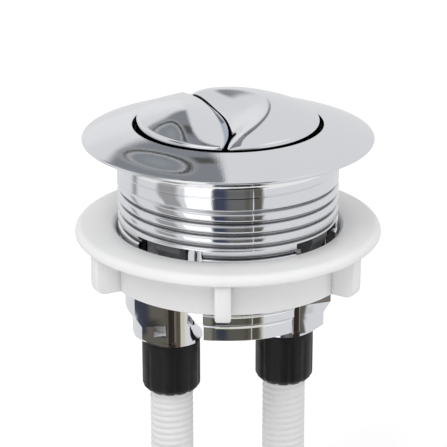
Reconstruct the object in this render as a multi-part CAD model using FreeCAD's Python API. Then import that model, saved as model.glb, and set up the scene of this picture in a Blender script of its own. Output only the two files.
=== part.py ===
import FreeCAD, Part
import os
from math import cos, pi, radians, sin, sqrt, tan

# Dual flush push button for a cistern lid. Millimetres, +Z up.
# The Z axis is the barrel's axis and z = 0 is the rim of the bezel.
# The half flush side is at -X and the full flush side at +X.

V = FreeCAD.Vector

# Barrel: the threaded tube below the bezel, moulded in one with it
BARREL_R = 24.0
BARREL_WALL = 2.3
THREAD_TOP = 8.6
THREAD_PITCH = 2.55
THREAD_DEPTH = 0.9
THREAD_TURNS = 5
GROOVE_WIDTH = 1.5
GROOVE_FLOOR = 0.5
SLOT_TOP = -17.5
SLOT_ANGLE = 39.5
SLOT_LAP = 1.0
SHORT_LEG_Z = -29.0
LEG_STEP_Z = (-30.6, -34.4)
LEG_STEP = 0.65
LEG_Z = -38.2

# Bezel: the thin chromed disc that covers the hole in the lid
RIM_REACH = 7.4
RIM_THICKNESS = 0.6
RING_REACH = 1.2
RING_Z = 3.1
BEZEL_CROWN = 0.35
SEAT_Z = -3.0
LIP_DEPTH = 4.3

# Push button caps: two chromed shells that share the well in the bezel
CAP_GAP = 0.9
CAP_WALL = 1.5
SPLIT_R = 45.0
SPLIT_X = -0.25
SPLIT_GAP = 0.55
HALF_EDGE = 0.65
HALF_CROWN = 3.7
HALF_LEAN = 0.25
FULL_EDGE = 0.95
FULL_CROWN = 4.5
FULL_LEAN = 0.6
BEVEL_DROP = 1.6
BEVEL_ANGLE = 40.0
HOLLOW_R = 20.4
HOLLOW_X = -10.4
HOLLOW_DEPTH = 2.0
SKIN_STEPS = 16
SKIRT_Z = -4.4
FLANGE_THICKNESS = 1.7
BOSS_R = 3.6
SPRING_SEAT_R = 5.3
SPRING_SEAT = 1.2
BOSS_Z = -3.4
RIB_THICKNESS = 1.2

# Plungers: the chromed pieces that carry the push from cap to rod
ROD_INSET = 8.8
STEM_R = 2.9
TENON_R = 2.4
TENON_LENGTH = 4.0
SHOULDER_R = 4.7
BLOCK_TOP = -20.0
BLOCK_HALF = 7.0
BLOCK_CLEARANCE = 0.5
WING_REACH = 1.5
WING_TOP = -29.6
WING_ROUND = 0.6
WING_DEPTH = 8.4
WAIST_Z = -40.4
BOSS_BOTTOM = -45.9
SOCKET_BOSS_R = 6.45
BOSS_ANGLE = 40.0
FOOT = 1.2
FOOT_SLANT = 4.6
INNER_WAIST = 2.7
GROOVE_X = (0.3, 1.8)
GROOVE_DEPTH = 0.7
SOCKET_DEPTH = 12.0
WINDOW = 2.6
WINDOW_X = 3.65
WINDOW_Z = -41.5

# Guide cage: the plate inside the barrel that guides both stems
CAGE_TOP = -14.6
CAGE_THICKNESS = 2.2
CAGE_CLEARANCE = 0.05
GUIDE_WALL = 1.2
GUIDE_HEIGHT = 2.4
CAGE_WINDOW = (10.0, 8.0)
CAGE_WINDOW_Y = 11.5
TAB_ANGLE = 15.0
TAB_THICKNESS = 1.3
TAB_REACH = 1.7
TAB_Z = -27.0
TAB_TOP = -17.8
TAB_HOOK = 1.3
TAB_RAMP = 3.6
TAB_LAP = 0.5

# Springs: one round each stem, between the cage and its cap
SPRING_WIRE = 0.8
SPRING_TURNS = 5
SPRING_STEPS = 12
SPRING_EASE = 0.15
WIRE_SIDES = 6

# Collars and rods: black socket rings and white adjusting rods
COLLAR_LENGTH = 11.8
COLLAR_R = 6.45
FLUTES = 12
FLUTE_DEPTH = 0.35
FLUTE_WIDTH = 2.2
FLUTE_END = 1.0
COLLAR_CHAMFER = 0.9
SPIGOT_R = 5.65
SPIGOT_LENGTH = 3.0
ROD_R = 4.85
ROD_GRIP = 1.0
ROD_LENGTH = 63.1
ROD_CHAMFER = 0.8

# Lock nut: white finned nut that clamps the lid from below
NUT_REACH = 9.3
NUT_TOP = -19.3
NUT_FLANGE = 2.3
NUT_HUB_WALL = 2.5
NUT_BOTTOM = -30.5
NUT_EDGE = 1.6
NUT_UNDER_EDGE = 0.5
NUT_LEAD_IN = 1.0
FIN_COUNT = 6
FIN_THICKNESS = 3.3
FIN_INSET = 1.0
FIN_CORNER = 2.2
FIN_TURN = 14.0
FIN_LAP = 0.5

# Clearances, and how far a cutting shape runs past what it cuts
RUNNING = 0.08
FREE = 0.4
CONTACT = 0.02
PAST = 3.0

# Worked out from the sizes above
BORE_R = BARREL_R - BARREL_WALL
RIM_R = BARREL_R + RIM_REACH
RING_R = BORE_R - RING_REACH
CAP_R = RING_R - CAP_GAP
ROD_X = BORE_R - ROD_INSET
BLOCK_R = BORE_R - BLOCK_CLEARANCE
WING_R = BLOCK_R + WING_REACH
NUT_BORE_R = BARREL_R + FREE
NUT_HUB_R = NUT_BORE_R + NUT_HUB_WALL
NUT_R = BARREL_R + NUT_REACH
FIN_R = NUT_R - FIN_INSET
LIP_Z = RING_Z - LIP_DEPTH
CAGE_BOTTOM = CAGE_TOP - CAGE_THICKNESS
COLLAR_BOTTOM = BOSS_BOTTOM - COLLAR_LENGTH
ROD_TOP = BOSS_BOTTOM + ROD_GRIP


def profile(points):
    """Closed face in the XZ plane; a point of four numbers ends an arc
    that passes through its first two."""
    edges = []
    last = V(points[0][0], 0, points[0][1])
    for p in points[1:] + points[:1]:
        end = V(p[-2], 0, p[-1])
        if len(p) == 4:
            edges.append(Part.Arc(last, V(p[0], 0, p[1]), end).toShape())
        elif (end - last).Length > 1e-9:
            edges.append(Part.LineSegment(last, end).toShape())
        last = end
    return Part.Face(Part.Wire(edges))


def turned(points, x=0.0):
    solid = profile(points).revolve(V(0, 0, 0), V(0, 0, 1), 360)
    solid.translate(V(x, 0, 0))
    return solid


def cylinder(r, bottom, top, x=0.0, y=0.0):
    return Part.makeCylinder(r, top - bottom, V(x, y, bottom))


def box(low, high):
    return Part.makeBox(high[0] - low[0], high[1] - low[1], high[2] - low[2], V(*low))


def sector(r, bottom, top, middle, width):
    """Wedge of a disc, centred on the angle middle, in degrees from +X."""
    wedge = Part.makeCylinder(r, top - bottom, V(0, 0, bottom), V(0, 0, 1), width)
    wedge.rotate(V(0, 0, 0), V(0, 0, 1), middle - width / 2)
    return wedge


def mirrored(solid):
    return solid.mirror(V(0, 0, 0), V(1, 0, 0))


def bezel_barrel():
    """Bezel, lip and threaded barrel, turned as one and slotted below."""
    half = RIM_THICKNESS / 2
    nose = RIM_R - half
    mid = (RING_R + nose) / 2
    under = (BARREL_R + nose) / 2
    outline = [
        (RING_R, LIP_Z),
        (RING_R, RING_Z),
        (mid, (RING_Z + half) / 2 + BEZEL_CROWN, nose, half),
        (RIM_R, 0.0, nose, -half),
        (under, (SEAT_Z - half) / 2 - BEZEL_CROWN, BARREL_R, SEAT_Z),
    ]
    for turn in range(THREAD_TURNS):
        z = -THREAD_TOP - turn * THREAD_PITCH
        side = (GROOVE_WIDTH - GROOVE_FLOOR) / 2
        outline += [
            (BARREL_R, z),
            (BARREL_R - THREAD_DEPTH, z - side),
            (BARREL_R - THREAD_DEPTH, z - side - GROOVE_FLOOR),
            (BARREL_R, z - GROOVE_WIDTH),
        ]
    r = BARREL_R
    for z in LEG_STEP_Z:
        outline += [(r, z), (r - LEG_STEP, z)]
        r -= LEG_STEP
    outline += [(r, LEG_Z), (BORE_R, LEG_Z), (BORE_R, LIP_Z)]
    body = turned(outline)
    reach = BARREL_R + PAST
    for middle in (45, 135, 225, 315):
        body = body.cut(sector(reach, LEG_Z - PAST, SLOT_TOP, middle, SLOT_ANGLE))
    for middle in (0, 180):
        leg = 90 - SLOT_ANGLE + 2 * SLOT_LAP
        body = body.cut(sector(reach, LEG_Z - PAST, SHORT_LEG_Z, middle, leg))
    return body


def dome(x, y, edge, crown, lean):
    """Height of a cap's top: a shallow dome with its back edge raised."""
    return RING_Z + edge + lean * y / CAP_R + crown * (1 - (x * x + y * y) / CAP_R ** 2)


def half_height(x, y):
    return dome(x, y, HALF_EDGE, HALF_CROWN, HALF_LEAN)


def full_height(x, y):
    """Dome with a finger hollow between the split and a round border."""
    depth = HOLLOW_R - sqrt((x - HOLLOW_X) ** 2 + y * y)
    share = min(max(depth / (HOLLOW_R + HOLLOW_X), 0.0), 1.0)
    return dome(x, y, FULL_EDGE, FULL_CROWN, FULL_LEAN) - HOLLOW_DEPTH * share ** 2 * (3 - 2 * share)


def below(height, drop):
    """Solid under a sculpted surface, lowered by drop, wider than a cap."""
    reach = CAP_R + PAST
    steps = SKIN_STEPS
    grid = []
    for i in range(steps + 1):
        x = -reach + 2 * reach * i / steps
        row = []
        for j in range(steps + 1):
            y = -reach + 2 * reach * j / steps
            row.append(V(x, y, height(x, y) - drop))
        grid.append(row)
    skin = Part.BSplineSurface()
    skin.interpolate(grid)
    return skin.toShape().extrude(V(0, 0, SKIRT_Z - RING_Z - 4 * PAST))


def split_side(side, offset, bottom, top):
    """Everything on one side of the curved split between the caps."""
    centre = SPLIT_X - SPLIT_R
    if side < 0:
        return cylinder(SPLIT_R - offset, bottom, top, centre)
    reach = CAP_R + PAST
    block = box((-reach, -reach, bottom), (reach, reach, top))
    return block.cut(cylinder(SPLIT_R + offset, bottom - PAST, top + PAST, centre))


def cap(side, height):
    """Hollow cap with a retaining flange, a socket for the stem and ribs."""
    low, high, deep = SKIRT_Z, height(0, 0) + PAST, SKIRT_Z - PAST
    gap = SPLIT_GAP / 2
    shape = cylinder(CAP_R, low, high).common(split_side(side, gap, low, high))
    flange_top = LIP_Z - FREE
    flange = cylinder(BORE_R - FREE, flange_top - FLANGE_THICKNESS, flange_top)
    shape = shape.fuse(flange.common(split_side(side, gap, low, high)))
    shape = shape.common(below(height, 0))
    inset = 0
    if side < 0:
        inset = BEVEL_DROP
        slope = tan(radians(BEVEL_ANGLE))
        crest_r = SPLIT_R - gap - BEVEL_DROP / slope
        crest_z = height(SPLIT_X, 0)
        shape = shape.common(turned([
            (0, deep),
            (crest_r + (crest_z - deep) / slope, deep),
            (crest_r, crest_z),
            (crest_r, high),
            (0, high),
        ], SPLIT_X - SPLIT_R))
    room = cylinder(CAP_R - CAP_WALL, deep, high)
    room = room.common(split_side(side, gap + CAP_WALL, deep, high))
    shape = shape.cut(room.common(below(height, CAP_WALL + inset)))
    # Socket for the stem, spring seat and four ribs, grown into the shell
    x = side * ROD_X
    half = RIB_THICKNESS / 2
    seat = BOSS_Z + SPRING_SEAT
    fill = cylinder(BOSS_R, BOSS_Z, high, x).fuse(cylinder(SPRING_SEAT_R, BOSS_Z, seat, x))
    fill = fill.fuse(box((x - 2 * CAP_R, -half, seat), (x + 2 * CAP_R, half, high)))
    fill = fill.fuse(box((x - half, -CAP_R, seat), (x + half, CAP_R, high)))
    inside = cylinder(CAP_R - CAP_WALL / 2, low, high)
    inside = inside.common(split_side(side, gap + CAP_WALL / 2, low, high))
    inside = inside.common(below(height, CAP_WALL / 2 + inset))
    shape = shape.fuse(fill.common(inside))
    return shape.cut(cylinder(TENON_R + RUNNING, deep, BOSS_Z + TENON_LENGTH, x))


def plunger():
    """Full flush plunger: tenon, stem, stop shoulder, winged block, boss."""
    outline = [
        (0, BLOCK_TOP),
        (BLOCK_R, BLOCK_TOP),
        (BLOCK_R, WING_TOP),
        (WING_R, WING_TOP - WING_ROUND),
        (WING_R, WING_TOP - WING_DEPTH),
        (BLOCK_R, WAIST_Z),
        (BLOCK_R, BOSS_BOTTOM),
        (0, BOSS_BOTTOM),
    ]
    plan = box((ROD_X, -BLOCK_HALF, BOSS_BOTTOM), (WING_R + PAST, BLOCK_HALF, BLOCK_TOP))
    plan = plan.fuse(cylinder(BLOCK_HALF, BOSS_BOTTOM, BLOCK_TOP, ROD_X))
    body = turned(outline).common(plan)
    # Foot drawn in to the round boss that the collar meets
    flare = (BLOCK_TOP - BOSS_BOTTOM) / tan(radians(BOSS_ANGLE))
    body = body.common(turned([
        (0, BOSS_BOTTOM),
        (SOCKET_BOSS_R, BOSS_BOTTOM),
        (SOCKET_BOSS_R + flare, BLOCK_TOP),
        (0, BLOCK_TOP),
    ], ROD_X))
    # Waist above the boss, on the inner side, with a slanted foot
    foot = BOSS_BOTTOM + FOOT
    inner = ROD_X - BLOCK_HALF - PAST
    start = ROD_X - BLOCK_HALF
    waist = ROD_X - INNER_WAIST
    thin = profile([
        (inner, foot),
        (start, foot),
        (waist, foot + FOOT_SLANT),
        (waist, WING_TOP),
        (inner, WING_TOP),
    ]).extrude(V(0, 2 * (BLOCK_HALF + PAST), 0))
    thin.translate(V(0, -BLOCK_HALF - PAST, 0))
    body = body.cut(thin)
    # Upright groove down the front and back faces
    left, right = ROD_X + GROOVE_X[0], ROD_X + GROOVE_X[1]
    for y in (-BLOCK_HALF, BLOCK_HALF):
        body = body.cut(box((left, y - GROOVE_DEPTH, foot), (right, y + GROOVE_DEPTH, WING_TOP)))
    body = body.fuse(cylinder(SHOULDER_R, BLOCK_TOP, CAGE_BOTTOM - FREE, ROD_X))
    body = body.fuse(cylinder(STEM_R, CAGE_BOTTOM - FREE, BOSS_Z, ROD_X))
    body = body.fuse(cylinder(TENON_R, BOSS_Z, BOSS_Z + TENON_LENGTH, ROD_X))
    body = body.fuse(cylinder(SPIGOT_R, BOSS_BOTTOM - SPIGOT_LENGTH, BOSS_BOTTOM, ROD_X))
    # Blind hole that the rod screws into
    mouth = BOSS_BOTTOM - SPIGOT_LENGTH
    return body.cut(cylinder(ROD_R + FREE, mouth, mouth + SOCKET_DEPTH, ROD_X))


def guide_cage():
    """Plate with two guide sleeves and four snap tabs in the slots."""
    r = BORE_R - CAGE_CLEARANCE
    body = cylinder(r, CAGE_BOTTOM, CAGE_TOP)
    for x in (-ROD_X, ROD_X):
        body = body.fuse(cylinder(STEM_R + GUIDE_WALL, CAGE_TOP, CAGE_TOP + GUIDE_HEIGHT, x))
    for x in (-ROD_X, ROD_X):
        top = CAGE_TOP + GUIDE_HEIGHT + PAST
        body = body.cut(cylinder(STEM_R + RUNNING, CAGE_BOTTOM - PAST, top, x))
    wide, deep = CAGE_WINDOW[0] / 2, CAGE_WINDOW[1] / 2
    for y in (-CAGE_WINDOW_Y, CAGE_WINDOW_Y):
        body = body.cut(box((-wide, y - deep, CAGE_BOTTOM - PAST), (wide, y + deep, CAGE_TOP + PAST)))
    tab = turned([
        (r - TAB_THICKNESS, CAGE_BOTTOM + TAB_LAP),
        (r - TAB_THICKNESS, TAB_Z),
        (r, TAB_Z),
        (r, TAB_TOP - TAB_HOOK - TAB_RAMP),
        (r + TAB_REACH, TAB_TOP - TAB_HOOK),
        (r + TAB_REACH, TAB_TOP),
        (r, TAB_TOP),
        (r, CAGE_BOTTOM + TAB_LAP),
    ])
    for middle in (45, 135, 225, 315):
        body = body.fuse(tab.common(sector(BARREL_R + PAST, TAB_Z, CAGE_TOP, middle, TAB_ANGLE)))
    return body


def spring():
    """Coil spring round the full flush stem, one short straight per step."""
    r = STEM_R + GUIDE_WALL + SPRING_EASE + SPRING_WIRE / 2
    low = CAGE_TOP + SPRING_WIRE / 2 + CONTACT
    high = BOSS_Z - SPRING_WIRE / 2 - CONTACT
    steps = SPRING_TURNS * SPRING_STEPS
    points = []
    for i in range(steps + 1):
        turn = 2 * pi * i / SPRING_STEPS
        points.append(V(r * cos(turn), r * sin(turn), low + (high - low) * i / steps))
    path = Part.makePolygon(points)
    sides = []
    for i in range(WIRE_SIDES + 1):
        a = 2 * pi * i / WIRE_SIDES
        sides.append(V(r + SPRING_WIRE / 2 * cos(a), 0, low + SPRING_WIRE / 2 * sin(a)))
    start = Part.makePolygon(sides)
    coil = Part.BRepOffsetAPI.MakePipeShell(path)
    coil.add(start)
    coil.setTransitionMode(1)
    coil.build()
    coil.makeSolid()
    solid = coil.shape()
    solid.translate(V(ROD_X, 0, 0))
    return solid


def collar():
    """Black socket ring: fluted outside, chamfered and scalloped below."""
    body = turned([
        (ROD_R + FREE, BOSS_BOTTOM - SPIGOT_LENGTH),
        (SPIGOT_R + RUNNING, BOSS_BOTTOM - SPIGOT_LENGTH),
        (SPIGOT_R + RUNNING, BOSS_BOTTOM),
        (COLLAR_R, BOSS_BOTTOM),
        (COLLAR_R, COLLAR_BOTTOM + COLLAR_CHAMFER),
        (COLLAR_R - COLLAR_CHAMFER, COLLAR_BOTTOM),
        (ROD_R + FREE, COLLAR_BOTTOM),
    ])
    for i in range(FLUTES):
        inner = COLLAR_R - FLUTE_DEPTH
        outer = COLLAR_R + FLUTE_DEPTH
        corners = [V(inner, 0, 0), V(outer, FLUTE_WIDTH / 2, 0), V(outer, -FLUTE_WIDTH / 2, 0)]
        flute = Part.Face(Part.makePolygon(corners + corners[:1]))
        flute = flute.extrude(V(0, 0, COLLAR_LENGTH - FLUTE_END))
        flute.translate(V(0, 0, COLLAR_BOTTOM))
        flute.rotate(V(0, 0, 0), V(0, 0, 1), 360 * i / FLUTES)
        body = body.cut(flute)
    body.translate(V(ROD_X, 0, 0))
    return body


def rod():
    """White adjusting rod; its fine thread is left plain here."""
    bottom = ROD_TOP - ROD_LENGTH
    return turned([
        (0, ROD_TOP),
        (ROD_R - ROD_CHAMFER, ROD_TOP),
        (ROD_R, ROD_TOP - ROD_CHAMFER),
        (ROD_R, bottom + ROD_CHAMFER),
        (ROD_R - ROD_CHAMFER, bottom),
        (0, bottom),
    ], ROD_X)


def lock_nut():
    """Flange with a rounded edge, a hub and radial fins for the fingers."""
    under = NUT_TOP - NUT_FLANGE
    edge = NUT_EDGE * (1 - sqrt(0.5))
    body = turned([
        (NUT_BORE_R, NUT_BOTTOM),
        (NUT_BORE_R, NUT_TOP - NUT_LEAD_IN),
        (NUT_BORE_R + NUT_LEAD_IN, NUT_TOP),
        (NUT_R - NUT_EDGE, NUT_TOP),
        (NUT_R - edge, NUT_TOP - edge, NUT_R, NUT_TOP - NUT_EDGE),
        (NUT_R, under + NUT_UNDER_EDGE),
        (NUT_R - NUT_UNDER_EDGE, under),
        (NUT_HUB_R, under),
        (NUT_HUB_R, NUT_BOTTOM),
    ])
    half = FIN_THICKNESS / 2
    corner = FIN_R - FIN_CORNER
    c = FIN_CORNER * (1 - sqrt(0.5))
    fin = profile([
        (NUT_BORE_R + FIN_LAP, NUT_BOTTOM),
        (corner, NUT_BOTTOM),
        (FIN_R - c, NUT_BOTTOM + c, FIN_R, NUT_BOTTOM + FIN_CORNER),
        (FIN_R, under + FIN_LAP),
        (NUT_BORE_R + FIN_LAP, under + FIN_LAP),
    ]).extrude(V(0, FIN_THICKNESS, 0))
    fin.translate(V(0, -half, 0))
    fin.rotate(V(0, 0, 0), V(0, 0, 1), -90 - FIN_TURN)
    for i in range(FIN_COUNT):
        body = body.fuse(fin)
        fin.rotate(V(0, 0, 0), V(0, 0, 1), 360 / FIN_COUNT)
    return body


def half_plunger():
    """The same plunger for the other side, with a square window through it."""
    x, half = -ROD_X - WINDOW_X, WINDOW / 2
    return mirrored(plunger()).cut(box((x - half, -BLOCK_HALF - PAST, WINDOW_Z - half),
                                       (x + half, BLOCK_HALF + PAST, WINDOW_Z + half)))


PIECES = {
    "bezel_barrel": bezel_barrel(),
    "half_flush_cap": cap(-1, half_height),
    "full_flush_cap": cap(1, full_height),
    "half_flush_plunger": half_plunger(),
    "full_flush_plunger": plunger(),
    "guide_cage": guide_cage(),
    "half_flush_spring": mirrored(spring()),
    "full_flush_spring": spring(),
    "half_flush_collar": mirrored(collar()),
    "full_flush_collar": collar(),
    "half_flush_rod": mirrored(rod()),
    "full_flush_rod": rod(),
    "lock_nut": lock_nut(),
}

os.makedirs("parts", exist_ok=True)
for name, solid in PIECES.items():
    if solid.ShapeType != "Solid" and len(solid.Solids) == 1:
        solid = solid.Solids[0]
    solid.exportStep(os.path.join("parts", name + ".step"))
    print(name, solid.isValid(), len(solid.Solids), round(solid.Volume, 1))
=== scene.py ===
from functools import partialmethod
from math import atan2, cos, degrees, hypot, pi, radians, sin, sqrt, tan

import bmesh
import bpy
from mathutils import Matrix, Vector


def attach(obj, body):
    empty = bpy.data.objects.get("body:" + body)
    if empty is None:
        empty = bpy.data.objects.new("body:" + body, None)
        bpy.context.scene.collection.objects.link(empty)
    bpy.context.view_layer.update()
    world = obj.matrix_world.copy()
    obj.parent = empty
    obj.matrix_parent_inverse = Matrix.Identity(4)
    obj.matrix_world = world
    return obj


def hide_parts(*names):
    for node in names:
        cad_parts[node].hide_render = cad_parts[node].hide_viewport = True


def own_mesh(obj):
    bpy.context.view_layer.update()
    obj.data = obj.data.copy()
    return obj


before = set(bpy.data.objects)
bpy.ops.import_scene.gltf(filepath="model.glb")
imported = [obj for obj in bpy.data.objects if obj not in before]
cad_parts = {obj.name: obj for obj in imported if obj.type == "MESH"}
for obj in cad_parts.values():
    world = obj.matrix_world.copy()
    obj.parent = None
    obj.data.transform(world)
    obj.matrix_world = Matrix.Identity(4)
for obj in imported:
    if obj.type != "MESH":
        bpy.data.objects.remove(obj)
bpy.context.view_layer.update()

# Bezel and barrel: one moulding in chrome plated plastic. The thin domed disc
# covers the hole in the lid, and the slotted tube below it carries the thread
# for the lock nut and four spring fingers, two of them long legs.
MM = 0.001
RIM_R = 31.4
RIM_THICKNESS = 0.6
RING_R = 20.5
RING_Z = 3.1
RING_EDGE, RING_FALL = 0.35, 0.09
BEZEL_CROWN = 0.35
SEAT_Z = -3.0
SEAT_FILLET, SEAT_RISE, SEAT_END = 1.35, 0.45, -4.0
LIP_Z = -1.2
BARREL_R = 24.0
BORE_R = 21.7
THREAD_TOP = -8.3
THREAD_END = -28.6
THREAD_PITCH = 2.55
THREAD_DEPTH = 0.9
THREAD_FADE = 1.2
WITNESS_Z, WITNESS_DEPTH, WITNESS_FLOOR, WITNESS_HALF = -5.8, 0.12, 0.08, 0.22
SLOT_TOP = -17.5
SLOT_ANGLE = 39.5
SHORT_LEG_Z = -29.0
LEG_STEP_Z = (-30.6, -34.4)
LEG_STEP = 0.65
LEG_Z = -38.2
LEG_BEADS, BEAD_HEIGHT, BEAD_HALF = (-32.4, -35.0), 0.2, 0.3
STEP_EDGE = 0.22
FINGER_EDGE = 0.22
COLUMN_ANGLE, SHARP_ANGLE, TINY = 1.25, 32, 1e-6
PARTING_WIDTH = 0.16
PARTING_HEIGHT = 0.04
# Thread from the middle of a crest to the floor of the groove: how far down,
# and what share of the full depth
THREAD_FLANK = (
    (0.0, 0.0), (0.22, 0.005), (0.42, 0.02), (0.58, 0.055), (0.71, 0.12), (0.81, 0.23), (0.89, 0.4),
    (0.96, 0.62), (1.03, 0.83), (1.11, 0.96), (1.2, 1.0),
)
thread_form = list(THREAD_FLANK)
thread_form += [(THREAD_PITCH - down, share) for down, share in reversed(THREAD_FLANK[1:])]
points, faces = [], []


def solid_object(name):
    """Mesh object from the listed points, in millimetres, and faces: doubles
    merged, normals out, sharp edges kept crisp. Both lists end up empty."""
    mesh = bpy.data.meshes.new(name)
    mesh.from_pydata([[c * MM for c in p] for p in points], [], faces)
    points.clear()
    faces.clear()
    work = bmesh.new()
    work.from_mesh(mesh)
    bmesh.ops.remove_doubles(work, verts=work.verts, dist=2e-7)
    bmesh.ops.dissolve_degenerate(work, edges=work.edges, dist=1e-7)
    bmesh.ops.recalc_face_normals(work, faces=work.faces)
    work.to_mesh(mesh)
    work.free()
    mesh.shade_smooth()
    mesh.set_sharp_from_angle(angle=radians(SHARP_ANGLE))
    made = bpy.data.objects.new(name, mesh)
    bpy.context.collection.objects.link(made)
    return made


def arc(start, middle, end, steps):
    """Points along the circle through three points, without the first."""
    (ax, ay), (bx, by), (cx, cy) = start, middle, end
    d = 2 * (ax * (by - cy) + bx * (cy - ay) + cx * (ay - by))
    a2, b2, c2 = ax * ax + ay * ay, bx * bx + by * by, cx * cx + cy * cy
    ux = (a2 * (by - cy) + b2 * (cy - ay) + c2 * (ay - by)) / d
    uy = (a2 * (cx - bx) + b2 * (ax - cx) + c2 * (bx - ax)) / d
    r = hypot(ax - ux, ay - uy)
    first = atan2(ay - uy, ax - ux)
    turn = (atan2(cy - uy, cx - ux) - first + pi) % (2 * pi) - pi
    return [(ux + r * cos(first + turn * i / steps), uy + r * sin(first + turn * i / steps))
            for i in range(1, steps + 1)]


def turn_corner(profile, corner, end, steps):
    """Adds a quarter circle to a profile, from its last point to end."""
    share = 1 - sqrt(0.5)
    middle = [c + share * (a + b - 2 * c) for a, b, c in zip(profile[-1], end, corner)]
    profile += arc(profile[-1], middle, end, steps)


def bezel_profile():
    """Radius and height from the lip's foot over the disc to the thread."""
    half = RIM_THICKNESS / 2
    nose = RIM_R - half
    mid, under = (RING_R + nose) / 2, (BARREL_R + nose) / 2
    profile = [(BORE_R, SLOT_TOP), (BORE_R, LIP_Z), (RING_R, LIP_Z), (RING_R, RING_Z - RING_EDGE)]
    ring_middle = (RING_R + 0.29 * RING_EDGE, RING_Z - 0.29 * RING_EDGE)
    profile += arc(profile[-1], ring_middle, (RING_R + RING_EDGE, RING_Z - RING_FALL), 6)
    profile += arc(profile[-1], (mid, (RING_Z + half) / 2 + BEZEL_CROWN), (nose, half), 40)
    profile += arc(profile[-1], (RIM_R, 0), (nose, -half), 10)
    seat = (BARREL_R + SEAT_FILLET, SEAT_Z + SEAT_RISE)
    profile += arc(profile[-1], (under, (SEAT_Z - half) / 2 - BEZEL_CROWN), seat, 16)
    profile += arc(profile[-1], (BARREL_R + 0.32 * SEAT_FILLET, SEAT_Z + 0.03), (BARREL_R, SEAT_END), 10)
    for away, depth in ((WITNESS_HALF, 0), (WITNESS_FLOOR, 1), (-WITNESS_FLOOR, 1), (-WITNESS_HALF, 0)):
        profile.append((BARREL_R - WITNESS_DEPTH * depth, WITNESS_Z + away))
    return profile + [(BARREL_R, THREAD_TOP)]


def barrel_radius(z, depth_share, edge, angle):
    """Outer radius: thread faded in and out, leg steps, broken edges, and the
    mould's parting line down the front and the back."""
    fade = [min(max(into / THREAD_FADE, 0), 1) for into in (THREAD_TOP - z, z - THREAD_END)]
    r = BARREL_R - THREAD_DEPTH * depth_share * fade[0] * fade[1]
    r -= LEG_STEP * sum(z < step - TINY for step in LEG_STEP_Z)
    r += sum(BEAD_HEIGHT * max(1 - abs(z - bead) / BEAD_HALF, 0) for bead in LEG_BEADS)
    return r - edge + parting_line(angle)


def parting_line(angle):
    """Height of the hair of flash where the two halves of the mould met."""
    turn = (angle - 90) % 180
    away = radians(min(turn, 180 - turn)) * BARREL_R
    return PARTING_HEIGHT * max(1 - away / PARTING_WIDTH, 0)


def finger_edge(angle, z, bottom):
    """How far an edge is broken near the side and the foot of a finger."""
    if z > SLOT_TOP - TINY:
        return 0.0
    away = min(abs((angle - side + 180) % 360 - 180) for side in slot_sides) * pi / 180 * BARREL_R
    side_cut = max(FINGER_EDGE - away, 0) * min((SLOT_TOP - z) / FINGER_EDGE, 1)
    foot_cut = max(FINGER_EDGE - (z - bottom), 0)
    return max(side_cut, foot_cut)


slot_middles = (45, 135, 225, 315)
slot_sides = [m + s * SLOT_ANGLE / 2 for m in slot_middles for s in (-1, 1)]
edge_turn = degrees(FINGER_EDGE / BARREL_R)
line_turn = degrees(PARTING_WIDTH / BARREL_R)
marks = slot_sides + [a - edge_turn for a in slot_sides] + [a + edge_turn for a in slot_sides]
marks += [middle + shift for middle in (90, 270) for shift in (-line_turn, 0, line_turn)]
marks = sorted(marks + [0, 360])
barrel_angles = []
for a, b in zip(marks, marks[1:]):
    parts = max(1, round((b - a) / COLUMN_ANGLE))
    barrel_angles += [a + (b - a) * i / parts for i in range(parts)]
barrel_angles.append(360.0)


def turn_point(r, angle, z, x=0.0):
    """Adds a point round an upright axis through x and gives its number."""
    points.append((x + r * cos(radians(angle)), r * sin(radians(angle)), z))
    return len(points) - 1


def strip(left, right):
    """Quads between two equal columns of points, left and right."""
    for i in range(len(left) - 1):
        faces.append((left[i], right[i], right[i + 1], left[i + 1]))


def thread_rows(angle, top, bottom):
    """Heights down a column that follow the helix, each with the share of the
    thread's depth and no further cut."""
    rows = []
    for turn in range(-2, int((THREAD_TOP - LEG_Z) / THREAD_PITCH) + 3):
        for down, share in thread_form:
            free_z = THREAD_TOP - turn * THREAD_PITCH - down - THREAD_PITCH * angle / 360
            z = min(max(free_z, bottom), top)
            rows.append((z, share if z == free_z else share_at(z, angle), 0))
    return rows


def leg_rows():
    """Heights down a long leg with its steps and beads, in the same form."""
    rows = [(SHORT_LEG_Z, 0, 0), (LEG_Z + FINGER_EDGE, 0, 0), (LEG_Z, 0, 0)]
    for step in LEG_STEP_Z:
        rows += [(step + STEP_EDGE, 0, 0), (step, 0, STEP_EDGE), (step - 2 * TINY, 0, 0)]
    rows += [(bead + BEAD_HALF * part, 0, 0) for bead in LEG_BEADS for part in (-1, -0.3, 0, 0.3, 1)]
    return sorted(rows, key=lambda row: -row[0])


def column(rows, angle, bottom):
    """Outer and inner points down one column of the barrel's wall."""
    outer, inner = [], []
    for z, share, cut in rows:
        edge = finger_edge(angle, z, bottom)
        outer.append(turn_point(barrel_radius(z, share, max(edge, cut), angle), angle, z))
        inner.append(turn_point(BORE_R + edge, angle, z))
    return outer, inner


def finger_part(columns, angles):
    """Faces of a finger between two columns, and its side at the edge of a
    slot. Gives the two ends of its foot."""
    (outer_a, inner_a), (outer_b, inner_b) = columns
    strip(outer_a, outer_b)
    strip(inner_b, inner_a)
    for angle, sides in zip(angles, columns):
        if any(abs(angle - side) < TINY for side in slot_sides):
            strip(*sides)
    return [outer_a[-1], inner_a[-1]], [outer_b[-1], inner_b[-1]]


def share_at(z, angle):
    """Depth of the thread form at any height, read between its points."""
    down = (THREAD_TOP - z - THREAD_PITCH * angle / 360) % THREAD_PITCH
    for (d0, s0), (d1, s1) in zip(thread_form, thread_form[1:]):
        if d0 <= down <= d1:
            return s0 + (s1 - s0) * (down - d0) / (d1 - d0)
    return 0.0


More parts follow.
